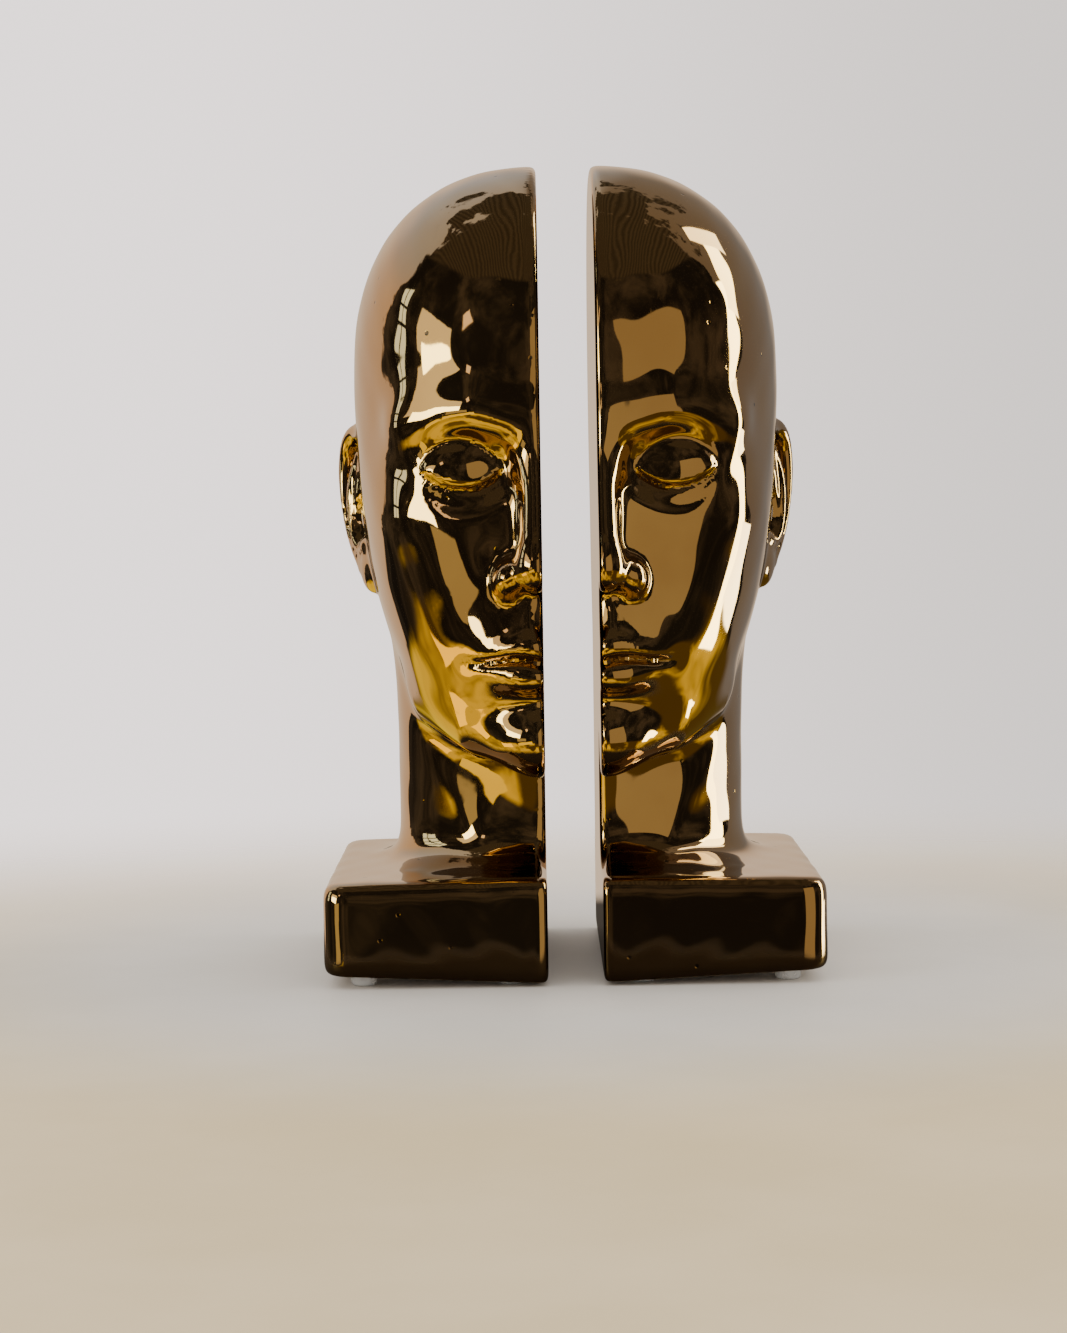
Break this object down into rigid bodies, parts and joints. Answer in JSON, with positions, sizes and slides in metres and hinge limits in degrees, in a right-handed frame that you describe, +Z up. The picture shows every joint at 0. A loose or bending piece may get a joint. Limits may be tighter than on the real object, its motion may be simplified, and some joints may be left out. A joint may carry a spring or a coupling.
{
  "type": "book ends",
  "caption": "Weighted ceramic book ends: a bald head on a square plinth, split down its midline into hollow, sand-filled halves that hold books between them",
  "frame": {"origin": "on the shelf, under the middle of the pair's bounding box, halfway between the two flat faces", "axes": "+Z up, the face looks along -Y, the left and right halves stand at -X and +X"},
  "size_m": [0.182, 0.1833, 0.3],
  "materials": {
    "gold_luster_glaze": "mirror-bright bronze-gold metallic lustre over a fired glaze",
    "bung_rubber": "moulded black rubber, matt",
    "silica_sand": "dry loose sand",
    "bumper_polyurethane": "whitish translucent stick-on bumper, satin"
  },
  "bodies": {
    "left_bookend": {"left_shell": "gold_luster_glaze", "left_bung": "bung_rubber", "left_sand_ballast": "silica_sand", "left_foot_front_inner": "bumper_polyurethane", "left_foot_front_outer": "bumper_polyurethane", "left_foot_back_inner": "bumper_polyurethane", "left_foot_back_outer": "bumper_polyurethane"},
    "right_bookend": {"right_shell": "gold_luster_glaze", "right_bung": "bung_rubber", "right_sand_ballast": "silica_sand", "right_foot_front_inner": "bumper_polyurethane", "right_foot_front_outer": "bumper_polyurethane", "right_foot_back_inner": "bumper_polyurethane", "right_foot_back_outer": "bumper_polyurethane"}
  },
  "joints": [
    {"name": "pair_spread", "type": "slide", "parent": "left_bookend", "child": "right_bookend", "axis": [1, 0, 0], "range_m": [-0.0195, 0.3]}
  ]
}
